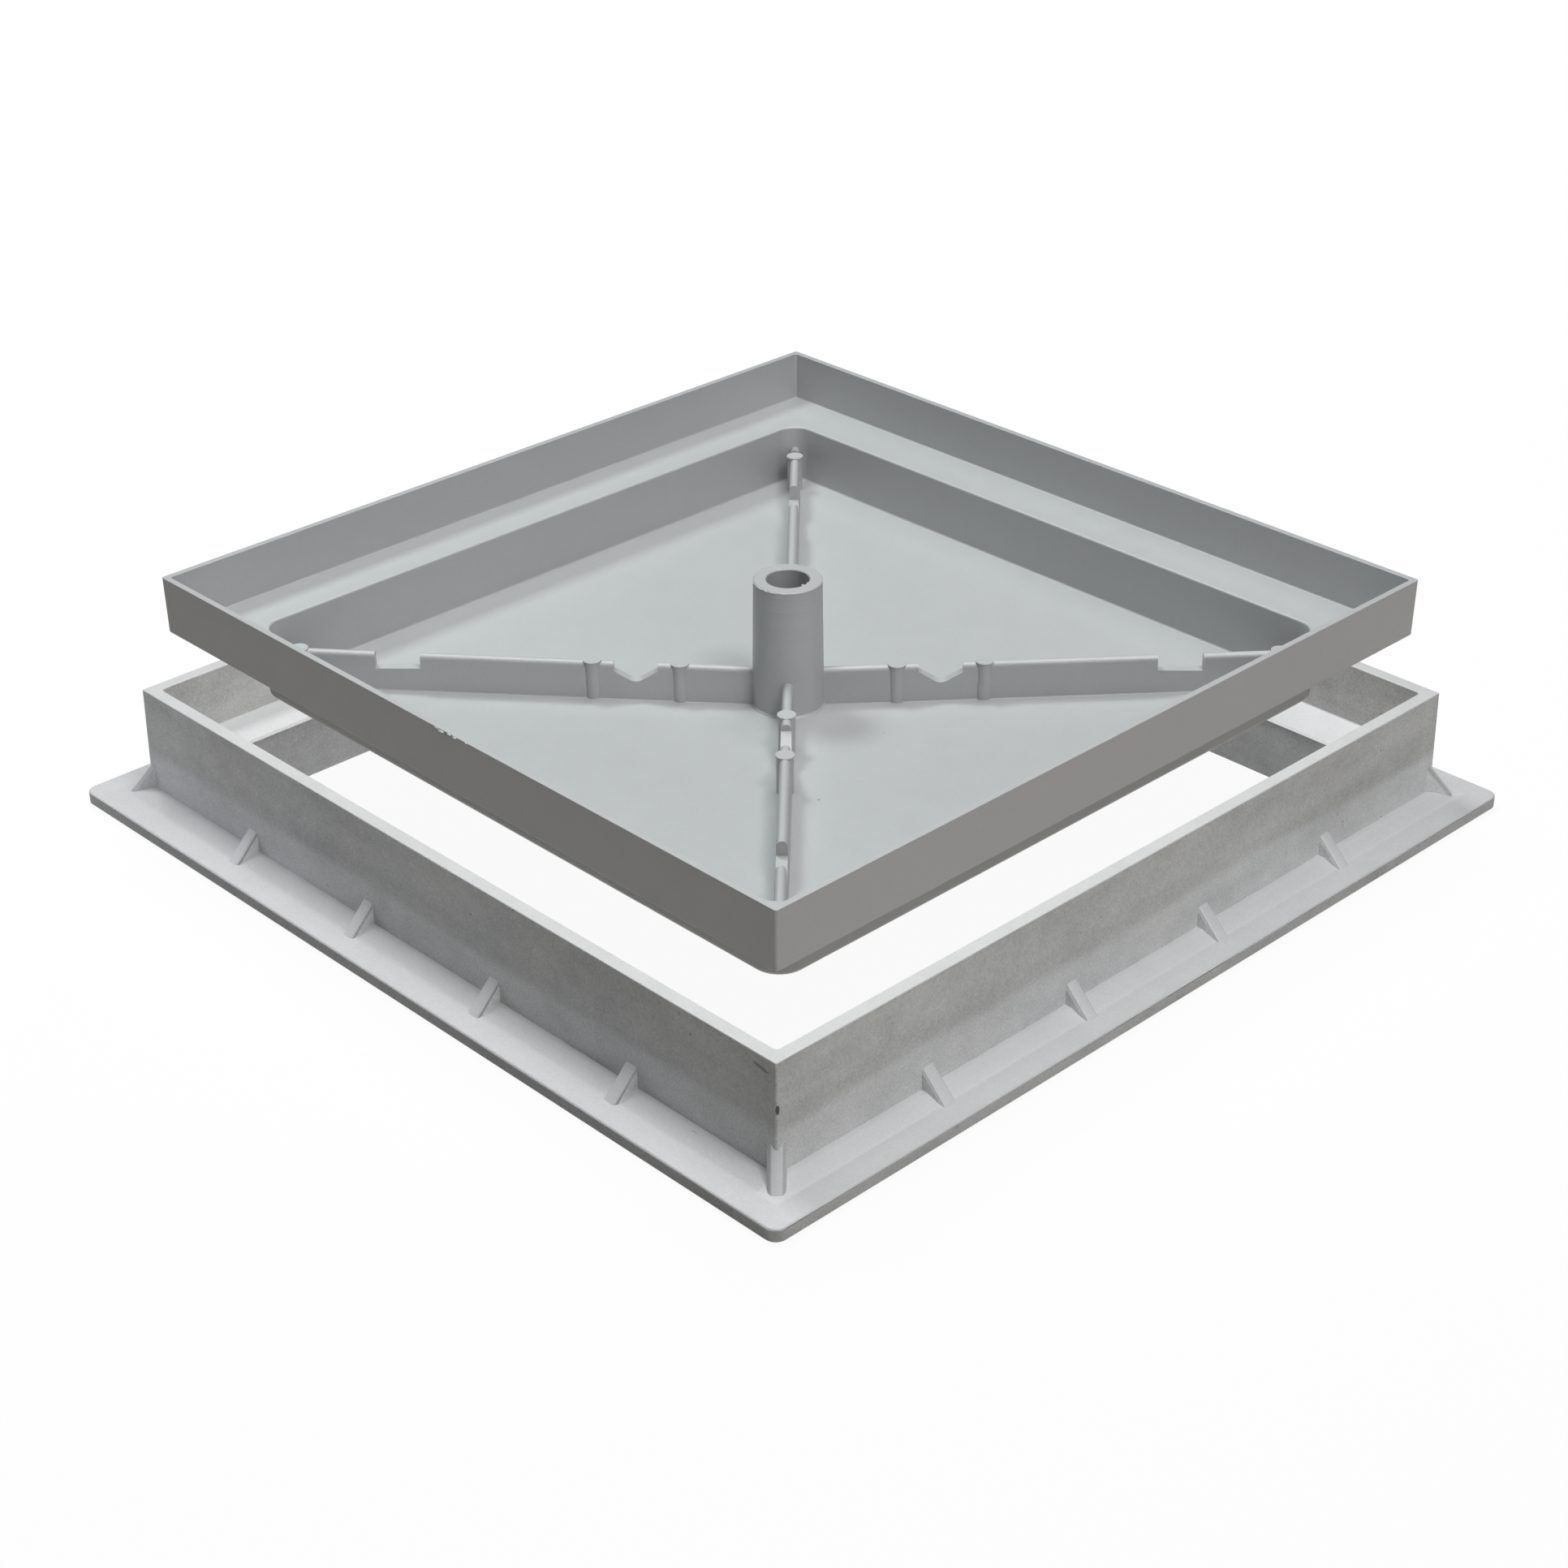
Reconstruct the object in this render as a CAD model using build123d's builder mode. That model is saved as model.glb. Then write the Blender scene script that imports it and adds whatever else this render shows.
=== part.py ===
"""Recessed access cover: a cast aluminium frame and the lift-out tray that sits in it.

Millimetres, +Z up. The origin is the centre of the frame's underside. The tray is shown lifted
straight up out of its frame by cover_lift; with cover_lift = 0 it rests on the frame's ledge.
"""

import os
from math import atan, cos, degrees, radians, sin, sqrt, tan

from build123d import *

# Frame, outside
frame_width = 590.0
frame_height = 83.0
frame_draft = 1.0
frame_wall = 9.0
wall_corner_radius = 2.5
rim_edge_radius = 0.8

# Frame, base flange and the raised strip at the foot of the wall
flange_reach = 33.0
flange_thickness = 9.0
flange_corner_radius = 8.0
flange_edge_radius = 1.5
flange_foot_bevel = 1.0
strip_width = 15.0
strip_height = 4.0
strip_slope_width = 11.0
strip_blend_radius = 10.0

# Frame, inside
ledge_depth = 39.5
well_draft = 2.0
well_corner_radius = 3.0
ledge_foot_radius = 1.2
ledge_edge_bevel = 1.5
ledge_thickness = 8.0
ledge_width = 36.0
opening_draft = 2.5
opening_corner_radius = 6.0
lower_inner_wall = 8.0
lower_outer_wall = 10.5
hollow_draft = 1.5

# Frame, gussets
gusset_count = 4
gusset_pitch = 120.0
gusset_width = 9.5
gusset_rise = 17.0
gusset_reach = 17.0
corner_gusset_reach = 13.5
gusset_back_radius = 4.6
gusset_foot_bury = 4.0
gusset_wall_bury = 4.0
corner_gusset_wall_bury = 9.0

# Tray, pan
cover_clearance = 6.0
rim_recess = 1.0
pan_wall = 4.2
pan_floor = 4.5
pan_draft = 1.0
pan_corner_radius = 2.0
pan_foot_radius = 1.0
pan_underside_radius = 1.0
cover_rim_radius = 0.4

# Tray, basin
basin_clearance = 8.1
basin_depth = 74.5
basin_fall = 13.0
basin_centre_width = 48.0
basin_centre_radius = 7.0
basin_wall = 4.4
basin_floor = 6.0
basin_draft = 1.0
basin_corner_radius = 14.0
basin_foot_radius = 1.5
basin_underside_radius = 3.0
step_edge_radius = 1.5
step_underside_radius = 3.0

# Tray, diagonal ribs
rib_count = 4
rib_height = 25.5
rib_width = 6.5
rib_draft = 1.5
rib_foot_radius = 1.2
rib_sink = 2.0
rib_wall_bury = 2.5
column_radius = 5.4
cap_radius = 5.9
cap_thickness = 1.0
cap_rise = 0.6
collar_radius = 5.8
collar_height = 11.5
inner_column_reach = 69.5
outer_column_reach = 125.5
corner_column_inset = 16.4
vee_reach = 97.5
vee_width = 28.5
vee_side = 5.0
vee_depth = 13.5
vee_root_radius = 8.0
notch_inset = 79.4
notch_width = 29.0
notch_depth = 10.0
groove_inset = 7.9
groove_width = 4.0
groove_depth = 3.5

# Tray, central tube
tube_top_diameter = 44.0
tube_draft = 0.8
tube_foot_bevel = 1.5
tube_bore = 27.5
tube_edge_bevel = 0.6

# How far the tray is lifted out of its seat
cover_lift = 81.0


def narrowing(draft, height):
    """How much one side moves in over a height at a draft angle."""
    return height * tan(radians(draft))


def ring(part, height, half_width, corner_radius, slack=0.3):
    """The edges of a level square outline, found by their height and their distance from the middle."""
    corner_inset = corner_radius * (1 - cos(radians(45)))

    def on_outline(edge):
        middle = edge.center()
        reach = max(abs(middle.X), abs(middle.Y))
        level = abs(edge.bounding_box().min.Z - height) < slack and abs(middle.Z - height) < slack
        return level and half_width - corner_inset - slack < reach < half_width + slack

    return part.edges().filter_by(on_outline)


# Heights and half widths that several features share
ledge_height = frame_height - ledge_depth
frame_half = frame_width / 2
frame_foot_half = frame_half + narrowing(frame_draft, frame_height)
flange_half = frame_half + flange_reach
strip_top = flange_thickness + strip_height
wall_half_at_strip = frame_half + narrowing(frame_draft, frame_height - strip_top)
wall_half_at_flange = frame_half + narrowing(frame_draft, frame_height - flange_thickness)
wall_corner_reach = wall_half_at_flange * sqrt(2)
strip_half = wall_half_at_strip + strip_width
strip_top_half = strip_half - strip_slope_width
strip_corner_radius = strip_width + wall_corner_radius
strip_top_corner = strip_corner_radius - strip_slope_width
well_half = frame_half - frame_wall
ledge_half = well_half - narrowing(well_draft, ledge_depth)
opening_half = well_half - ledge_width
opening_foot_half = opening_half + narrowing(opening_draft, ledge_height)
hollow_height = ledge_height - ledge_thickness
hollow_inner_half = opening_foot_half + lower_inner_wall
hollow_outer_half = frame_foot_half - lower_outer_wall


def gusset(reach, wall_bury):
    """One small gusset, standing on the flange against a wall whose face is at X = 0."""
    slope = gusset_rise / reach
    foot = reach + gusset_foot_bury / slope
    crest = gusset_rise + wall_bury * slope
    with BuildPart() as shape:
        with BuildSketch(Plane.XZ):
            with BuildLine():
                Polyline(
                    (-wall_bury, -gusset_foot_bury),
                    (-wall_bury, crest),
                    (foot, -gusset_foot_bury),
                    close=True,
                )
            make_face()
        extrude(amount=gusset_width / 2, both=True)
        slope_edges = shape.edges().filter_by(Axis.Y, reverse=True).group_by(SortBy.LENGTH)[-1]
        fillet(slope_edges, gusset_back_radius)
    return shape.part


# Frame: one casting
with BuildPart() as frame:
    # Outer wall, wider at the foot
    with BuildSketch():
        RectangleRounded(2 * frame_foot_half, 2 * frame_foot_half, wall_corner_radius)
    extrude(amount=frame_height, taper=frame_draft)
    # Base flange
    with BuildSketch():
        RectangleRounded(2 * flange_half, 2 * flange_half, flange_corner_radius)
    extrude(amount=flange_thickness)
    # Raised strip along the wall, which slopes down to the flange
    with BuildSketch(Plane.XY.offset(flange_thickness)):
        RectangleRounded(2 * strip_half, 2 * strip_half, strip_corner_radius)
    extrude(amount=strip_height, taper=degrees(atan(strip_slope_width / strip_height)))
    fillet(ring(frame, strip_top, strip_top_half, strip_top_corner), strip_blend_radius)
    fillet(ring(frame, flange_thickness, strip_half, strip_corner_radius), strip_blend_radius)
    fillet(ring(frame, flange_thickness, flange_half, flange_corner_radius), flange_edge_radius)
    chamfer(ring(frame, 0, flange_half, flange_corner_radius), flange_foot_bevel)
    # Gussets along the four walls, and on the corners, where they are steeper and set deeper
    for side in range(4):
        with Locations(Rotation(0, 0, 90 * side) * Pos(wall_half_at_flange, 0, flange_thickness)):
            with GridLocations(0, gusset_pitch, 1, gusset_count):
                add(gusset(gusset_reach, gusset_wall_bury))
        with Locations(Rotation(0, 0, 90 * side + 45) * Pos(wall_corner_reach, 0, flange_thickness)):
            add(gusset(corner_gusset_reach, corner_gusset_wall_bury))
    # Well that holds the tray, down to the ledge
    with BuildSketch(Plane.XY.offset(frame_height)):
        RectangleRounded(2 * well_half, 2 * well_half, well_corner_radius)
    extrude(amount=-ledge_depth, taper=well_draft, mode=Mode.SUBTRACT)
    # Clear opening through the ledge
    with BuildSketch(Plane.XY.offset(ledge_height)):
        RectangleRounded(2 * opening_half, 2 * opening_half, opening_corner_radius)
    extrude(amount=-ledge_height, taper=-opening_draft, mode=Mode.SUBTRACT)
    # Hollow under the ledge, open underneath
    with BuildSketch():
        Rectangle(2 * hollow_outer_half, 2 * hollow_outer_half)
        Rectangle(2 * hollow_inner_half, 2 * hollow_inner_half, mode=Mode.SUBTRACT)
    extrude(amount=hollow_height, taper=hollow_draft, mode=Mode.SUBTRACT)
    fillet(ring(frame, ledge_height, ledge_half, well_corner_radius), ledge_foot_radius)
    chamfer(ring(frame, ledge_height, opening_half, opening_corner_radius), ledge_edge_bevel)
    fillet(ring(frame, frame_height, frame_half, wall_corner_radius), rim_edge_radius)
    fillet(ring(frame, frame_height, well_half, well_corner_radius), rim_edge_radius)

# Tray heights and half widths, worked out from its seat in the frame
pan_depth = ledge_depth - rim_recess
rim_height = ledge_height + pan_depth + cover_lift
step_depth = pan_depth - pan_floor
pan_half = well_half - cover_clearance
pan_foot_half = pan_half - narrowing(pan_draft, pan_depth)
pan_inner_half = pan_half - pan_wall
basin_outer_half = opening_half - basin_clearance
basin_half = basin_outer_half - basin_wall
basin_foot_half = basin_half - narrowing(basin_draft, basin_depth - step_depth)
basin_outer_depth = basin_depth + basin_floor
basin_outer_foot_half = basin_outer_half - narrowing(basin_draft, basin_outer_depth - pan_depth)
basin_outer_radius = basin_corner_radius + basin_wall
basin_foot_corner = basin_corner_radius - (basin_half - basin_foot_half)
basin_outer_foot_corner = basin_outer_radius - (basin_outer_half - basin_outer_foot_half)
centre_depth = basin_depth + basin_fall

# The floor falls along the diagonals from the basin's corners to the flat middle
valley_start = basin_centre_width / 2 * sqrt(2)
valley_slope = basin_fall / ((basin_foot_half - basin_centre_width / 2) * sqrt(2))
valley_angle = degrees(atan(valley_slope))
corner_reach = basin_foot_half * sqrt(2) - basin_foot_corner * (sqrt(2) - 1)
rib_start = (tube_bore + tube_top_diameter) / 4
notch_reach = corner_reach - notch_inset
corner_column_reach = corner_reach - corner_column_inset
groove_reach = corner_reach - groove_inset


def valley_height(reach):
    """Height of the floor under a rib, at a distance from the tube's axis."""
    return rim_height - centre_depth + (reach - valley_start) * valley_slope


# One diagonal rib with its notches and half-round columns, lying along +X
with BuildPart() as rib:
    rib_half = rib_width / 2
    rib_shoulder = rib_height - rib_half
    foot_half = rib_half + narrowing(rib_draft, rib_shoulder - rib_foot_radius)
    fillet_half = foot_half + rib_foot_radius
    section_plane = Plane(
        origin=(rib_start, 0, valley_height(rib_start)),
        x_dir=(0, 1, 0),
        z_dir=(cos(radians(valley_angle)), 0, sin(radians(valley_angle))),
    )
    with BuildSketch(section_plane) as rib_section:
        with BuildLine():
            Polyline((0, -rib_sink), (fillet_half, -rib_sink), (fillet_half, 0))
            TangentArc((fillet_half, 0), (foot_half, rib_foot_radius), tangent=(-1, 0))
            Line((foot_half, rib_foot_radius), (rib_half, rib_shoulder))
            CenterArc((0, rib_shoulder), rib_half, 0, 90)
            mirror(about=Plane.YZ)
        make_face()
    extrude(amount=(corner_reach + rib_wall_bury - rib_start) / cos(radians(valley_angle)))
    # Vee notch between the two inner columns, with short upright sides and a rounded root
    with BuildSketch(Plane.XZ) as vee_side_view:
        vee_crest = valley_height(vee_reach) + rib_height
        with BuildLine():
            Polyline(
                (vee_reach - vee_width / 2, vee_crest + vee_side),
                (vee_reach - vee_width / 2, vee_crest - vee_side),
                (vee_reach, vee_crest - vee_depth),
                (vee_reach + vee_width / 2, vee_crest - vee_side),
                (vee_reach + vee_width / 2, vee_crest + vee_side),
                close=True,
            )
        make_face()
        fillet(vee_side_view.vertices().sort_by(Axis.Y)[0], vee_root_radius)
    extrude(amount=rib_width, both=True, mode=Mode.SUBTRACT)
    # Square notch further out, and a small groove between the corner column and the basin wall
    for reach, width, depth in (
        (notch_reach, notch_width, notch_depth),
        (groove_reach, groove_width, groove_depth),
    ):
        with Locations((reach, 0, valley_height(reach) + rib_height - depth)):
            Box(
                width,
                2 * rib_width,
                rib_height,
                align=(Align.CENTER, Align.CENTER, Align.MIN),
                mode=Mode.SUBTRACT,
            )
    # Columns that stand astride the rib, each with a thin cap a little wider than itself
    for reach in (inner_column_reach, outer_column_reach, corner_column_reach):
        with Locations((reach, 0, valley_height(reach) - rib_sink)):
            Cylinder(
                column_radius,
                rib_sink + rib_height,
                align=(Align.CENTER, Align.CENTER, Align.MIN),
            )
        with Locations((reach, 0, valley_height(reach) + rib_height + cap_rise)):
            Cylinder(cap_radius, cap_thickness, align=(Align.CENTER, Align.CENTER, Align.MAX))

# Tray: one casting
with BuildPart() as cover:
    # Outside of the pan
    with BuildSketch(Plane.XY.offset(rim_height)):
        RectangleRounded(2 * pan_half, 2 * pan_half, pan_corner_radius)
    extrude(amount=-pan_depth, taper=pan_draft)
    # Outside of the basin and its falling underside
    with BuildSketch(Plane.XY.offset(rim_height - pan_depth)):
        RectangleRounded(2 * basin_outer_half, 2 * basin_outer_half, basin_outer_radius)
    extrude(amount=-(basin_outer_depth - pan_depth), taper=basin_draft)
    with BuildSketch(Plane.XY.offset(rim_height - basin_outer_depth)):
        RectangleRounded(2 * basin_outer_foot_half, 2 * basin_outer_foot_half, basin_outer_foot_corner)
    with BuildSketch(Plane.XY.offset(rim_height - basin_outer_depth - basin_fall)):
        RectangleRounded(basin_centre_width, basin_centre_width, basin_centre_radius)
    loft(ruled=True)
    fillet(
        ring(cover, rim_height - basin_outer_depth, basin_outer_foot_half, basin_outer_radius),
        basin_underside_radius,
    )
    fillet(ring(cover, rim_height - pan_depth, basin_outer_half, basin_outer_radius), step_underside_radius)
    fillet(ring(cover, rim_height - pan_depth, pan_foot_half, pan_corner_radius), pan_underside_radius)
    # Inside of the pan
    with BuildSketch(Plane.XY.offset(rim_height)):
        RectangleRounded(2 * pan_inner_half, 2 * pan_inner_half, pan_corner_radius)
    extrude(amount=-step_depth, taper=pan_draft, mode=Mode.SUBTRACT)
    # Inside of the basin and its falling floor
    with BuildSketch(Plane.XY.offset(rim_height - step_depth)):
        RectangleRounded(2 * basin_half, 2 * basin_half, basin_corner_radius)
    extrude(amount=-(basin_depth - step_depth), taper=basin_draft, mode=Mode.SUBTRACT)
    with BuildSketch(Plane.XY.offset(rim_height - basin_depth)):
        RectangleRounded(2 * basin_foot_half, 2 * basin_foot_half, basin_foot_corner)
    with BuildSketch(Plane.XY.offset(rim_height - centre_depth)):
        RectangleRounded(basin_centre_width, basin_centre_width, basin_centre_radius)
    loft(ruled=True, mode=Mode.SUBTRACT)
    fillet(
        ring(cover, rim_height - basin_depth, basin_foot_half, basin_corner_radius),
        basin_foot_radius,
    )
    pan_floor_half = pan_inner_half - narrowing(pan_draft, step_depth)
    fillet(ring(cover, rim_height - step_depth, pan_floor_half, pan_corner_radius), pan_foot_radius)
    fillet(ring(cover, rim_height - step_depth, basin_half, basin_corner_radius), step_edge_radius)
    fillet(ring(cover, rim_height, pan_half, pan_corner_radius), cover_rim_radius)
    fillet(ring(cover, rim_height, pan_inner_half, pan_corner_radius), cover_rim_radius)
    # Diagonal ribs
    with PolarLocations(0, rib_count, start_angle=45):
        add(rib.part)
    # Collar round the lower part of one outer column
    with Locations(Rotation(0, 0, 45) * Pos(outer_column_reach, 0, valley_height(outer_column_reach))):
        Cylinder(collar_radius, collar_height, align=(Align.CENTER, Align.CENTER, Align.MIN))
    # Central tube with a spread foot, then the bore down through the floor
    tube_half = tube_top_diameter / 2
    tube_base = rim_height - centre_depth
    tube_foot_half = tube_half + narrowing(tube_draft, centre_depth - tube_foot_bevel)
    tube_spread_half = tube_foot_half + tube_foot_bevel
    with BuildSketch(Plane.XZ):
        with BuildLine():
            Polyline(
                (tube_half, rim_height),
                (0, rim_height),
                (0, tube_base - rib_sink),
                (tube_spread_half, tube_base - rib_sink),
                (tube_spread_half, tube_base),
                (tube_foot_half, tube_base + tube_foot_bevel),
                close=True,
            )
        make_face()
    revolve(axis=Axis.Z)
    with Locations((0, 0, rim_height)):
        Hole(tube_bore / 2)
    tube_end = cover.faces().filter_by(Axis.Z).group_by(Axis.Z)[-1].sort_by(SortBy.AREA)[0]
    chamfer(tube_end.edges(), tube_edge_bevel)

os.makedirs("parts", exist_ok=True)
frame.part.label = "frame"
export_step(frame.part, "parts/frame.step")
cover.part.label = "cover"
export_step(cover.part, "parts/cover.step")
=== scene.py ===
"""Recessed access cover: finishes, casting flaws, studio light and camera for the two castings."""

import logging
import random
from dataclasses import dataclass
from enum import Enum
from math import cos, radians, sin, sqrt
from typing import Optional, Union

import bmesh
import bpy
from mathutils import Matrix, Vector


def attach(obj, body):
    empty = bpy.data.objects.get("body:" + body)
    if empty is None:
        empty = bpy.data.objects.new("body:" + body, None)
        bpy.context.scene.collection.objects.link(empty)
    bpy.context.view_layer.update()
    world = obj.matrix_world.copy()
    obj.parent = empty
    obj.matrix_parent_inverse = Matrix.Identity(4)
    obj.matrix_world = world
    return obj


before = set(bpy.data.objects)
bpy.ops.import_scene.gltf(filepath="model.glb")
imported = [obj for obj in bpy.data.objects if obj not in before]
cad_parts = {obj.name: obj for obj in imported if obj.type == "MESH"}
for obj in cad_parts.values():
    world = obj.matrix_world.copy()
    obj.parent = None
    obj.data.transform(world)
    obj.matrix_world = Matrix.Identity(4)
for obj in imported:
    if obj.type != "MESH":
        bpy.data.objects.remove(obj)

log = logging.getLogger("access_cover")

MM = 0.001
SHARP = radians(40)

Colour = tuple[float, float, float]
Point = tuple[float, float, float]
Step = tuple[float, float]
Objects = list[bpy.types.Object]

SPOT_EDGE: Step = (1.15, 0.75)
WHITE = (1.0, 1.0, 1.0, 1.0)


class Slot(Enum):
    """The record's material slots."""

    FRAME = "frame"
    COVER = "cover"


Finishes = dict[Slot, bpy.types.Material]


@dataclass(frozen=True)
class Grain:
    """One random pattern: a blotch's width in metres, its finer layers and its seed."""

    size: float
    detail: float
    seed: float


@dataclass(frozen=True)
class Lump:
    """A small flaw or painted shadow, drawn or solid: its middle and its half lengths, in
    millimetres.
    """

    centre: Point
    reach: Point


class Wire:
    """A value on a shader socket, with Python's operators for its maths."""

    def __init__(self, graph: "Graph", socket: bpy.types.NodeSocket) -> None:
        """Wraps one output socket.

        Args:
            graph: the material's graph that the socket belongs to.
            socket: the output socket.
        """
        self.graph = graph
        self.socket = socket

    def __add__(self, other: "Value") -> "Wire":
        """Sum of the two."""
        return self.graph.maths("ADD", self, other)

    __radd__ = __add__

    def __mul__(self, other: "Value") -> "Wire":
        """Product of the two."""
        return self.graph.maths("MULTIPLY", self, other)

    __rmul__ = __mul__

    def __sub__(self, other: "Value") -> "Wire":
        """This less the other."""
        return self.graph.maths("SUBTRACT", self, other)

    def __rsub__(self, other: "Value") -> "Wire":
        """The other less this."""
        return self.graph.maths("SUBTRACT", other, self)

    def __abs__(self) -> "Wire":
        """Size without sign."""
        return self.graph.maths("ABSOLUTE", self)

    def __gt__(self, other: "Value") -> "Wire":
        """1 where this is greater, else 0."""
        return self.graph.maths("GREATER_THAN", self, other)

    def most(self, other: "Value") -> "Wire":
        """The larger of the two."""
        return self.graph.maths("MAXIMUM", self, other)

    def least(self, other: "Value") -> "Wire":
        """The smaller of the two."""
        return self.graph.maths("MINIMUM", self, other)

    def rise(self, low: float, high: float) -> "Wire":
        """Smooth step from 0 at low to 1 at high, which may be the smaller of the two.

        Args:
            low: value at which the step starts.
            high: value at which it is complete.

        Returns:
            The step, between 0 and 1.
        """
        made = self.graph.node(
            "ShaderNodeMapRange",
            {"interpolation_type": "SMOOTHSTEP"},
            {"Value": self, "From Min": low, "From Max": high},
        )
        return Wire(self.graph, made.outputs["Result"])


Value = Union[float, Wire]


class Graph:
    """The node graph of one material."""

    def __init__(self, name: str) -> None:
        """Starts an empty graph in a new material.

        Args:
            name: the material's name.
        """
        self.material = bpy.data.materials.new(name)
        self.material.use_nodes = True
        self.tree = self.material.node_tree
        self.tree.nodes.clear()

    def node(
        self,
        kind: str,
        settings: Optional[dict[str, object]] = None,
        sockets: Optional[dict[Union[str, int], object]] = None,
    ) -> bpy.types.Node:
        """Adds one node, sets its settings, then sets or links its sockets.

        Args:
            kind: the node's type.
            settings: values of the node's own properties.
            sockets: values or wires of its inputs, by name or number.

        Returns:
            The node.
        """
        made = self.tree.nodes.new(kind)
        for key, value in (settings or {}).items():
            setattr(made, key, value)
        for key, value in (sockets or {}).items():
            if isinstance(value, Wire):
                self.tree.links.new(value.socket, made.inputs[key])
            elif isinstance(value, bpy.types.NodeSocket):
                self.tree.links.new(value, made.inputs[key])
            else:
                made.inputs[key].default_value = value
        return made

    def maths(self, operation: str, *values: Value) -> Wire:
        """One Math node.

        Args:
            operation: its operation.
            *values: its one or two values.

        Returns:
            Its result.
        """
        made = self.node("ShaderNodeMath", {"operation": operation}, dict(enumerate(values)))
        return Wire(self, made.outputs[0])

    def place(self) -> Wire:
        """Object coordinates, in metres."""
        return Wire(self, self.node("ShaderNodeTexCoord").outputs["Object"])

    def facing(self) -> Wire:
        """Direction that the surface faces, in the object's axes."""
        return Wire(self, self.node("ShaderNodeTexCoord").outputs["Normal"])

    def axes(self, vector: Wire) -> tuple[Wire, Wire, Wire]:
        """The three parts of a vector.

        Args:
            vector: the vector.

        Returns:
            Its X, Y and Z.
        """
        made = self.node("ShaderNodeSeparateXYZ", sockets={0: vector})
        x, y, z = (Wire(self, socket) for socket in made.outputs)
        return x, y, z

    def vector(self, x: Value, y: Value, z: Value) -> Wire:
        """A vector from its three parts."""
        made = self.node("ShaderNodeCombineXYZ", sockets={0: x, 1: y, 2: z})
        return Wire(self, made.outputs[0])

    def noise(self, at: Wire, grain: Grain) -> Wire:
        """Soft random values.

        Args:
            at: where the pattern is read.
            grain: the pattern.

        Returns:
            Values centred on 0, mostly between -0.5 and 0.5.
        """
        made = self.node(
            "ShaderNodeTexNoise",
            {"noise_dimensions": "4D"},
            {"Vector": at, "W": grain.seed, "Scale": 1.0 / grain.size, "Detail": grain.detail},
        )
        return Wire(self, made.outputs["Fac"]) - 0.5

    def length(self, vector: Wire) -> Wire:
        """Length of a vector."""
        made = self.node("ShaderNodeVectorMath", {"operation": "LENGTH"}, {0: vector})
        return Wire(self, made.outputs["Value"])

    def spot(self, at: Wire, lump: Lump, rough: Value) -> Wire:
        """A small soft-edged patch.

        Args:
            at: where the patch is read, in metres.
            lump: the patch.
            rough: added to the distance, to make the outline uneven.

        Returns:
            1 inside the patch, 0 outside it.
        """
        moved = self.node(
            "ShaderNodeVectorMath",
            {"operation": "SUBTRACT"},
            {0: at, 1: tuple(part * MM for part in lump.centre)},
        )
        scaled = self.node(
            "ShaderNodeVectorMath",
            {"operation": "DIVIDE"},
            {0: moved.outputs[0], 1: tuple(part * MM for part in lump.reach)},
        )
        return (self.length(Wire(self, scaled.outputs[0])) + rough).rise(*SPOT_EDGE)

    def blend(self, factor: Value, first: object, second: object) -> Wire:
        """A colour between two others.

        Args:
            factor: 0 for the first, 1 for the second.
            first: a colour or a wire.
            second: a colour or a wire.

        Returns:
            The mixed colour.
        """
        ends = [(*c, 1.0) if isinstance(c, tuple) else c for c in (first, second)]
        sockets = {0: factor, 6: ends[0], 7: ends[1]}
        made = self.node("ShaderNodeMix", {"data_type": "RGBA"}, sockets)
        return Wire(self, made.outputs[2])

    def shade(self, colour: Wire, factor: Value) -> Wire:
        """A colour made lighter or darker by a factor."""
        grey = self.node("ShaderNodeCombineColor", sockets={0: factor, 1: factor, 2: factor})
        made = self.node(
            "ShaderNodeMix",
            {"data_type": "RGBA", "blend_type": "MULTIPLY"},
            {0: 1.0, 6: colour, 7: grey.outputs[0]},
        )
        return Wire(self, made.outputs[2])

    def relief(self, height: Wire, depth: float, under: Optional[Wire] = None) -> Wire:
        """A surface normal bent by small heights.

        Args:
            height: the heights, about 0 to 1.
            depth: what a height of 1 stands for, in metres.
            under: a normal that this one is laid over.

        Returns:
            The bent normal.
        """
        sockets = {"Height": height, "Distance": depth, "Strength": 1.0}
        if under is not None:
            sockets["Normal"] = under
        return Wire(self, self.node("ShaderNodeBump", sockets=sockets).outputs[0])

    def surface(
        self, colour: Wire, roughness: Wire, normal: Wire, metallic: float
    ) -> bpy.types.Material:
        """Ends the graph in a metal surface.

        Args:
            colour: its base colour.
            roughness: its roughness.
            normal: its normal.
            metallic: how far it reflects as bare metal.

        Returns:
            The finished material.
        """
        shader = self.node(
            "ShaderNodeBsdfPrincipled",
            sockets={
                "Base Color": colour,
                "Roughness": roughness,
                "Normal": normal,
                "Metallic": metallic,
            },
        )
        self.node("ShaderNodeOutputMaterial", sockets={"Surface": shader.outputs[0]})
        return self.material


@dataclass(frozen=True)
class FrameZones:
    """Where each kind of surface of the frame lies, from 0 to 1."""

    level: Wire
    upright: Wire
    sloped: Wire
    gusset_back: Wire
    left_wall: Wire
    inside: Wire
    far_inside: Wire
    flange_side: Wire
    near_corner: Wire
    not_right: Wire
    clear_of_corners: Wire
    rim: Wire
    ledge: Wire
    strip: Wire


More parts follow.
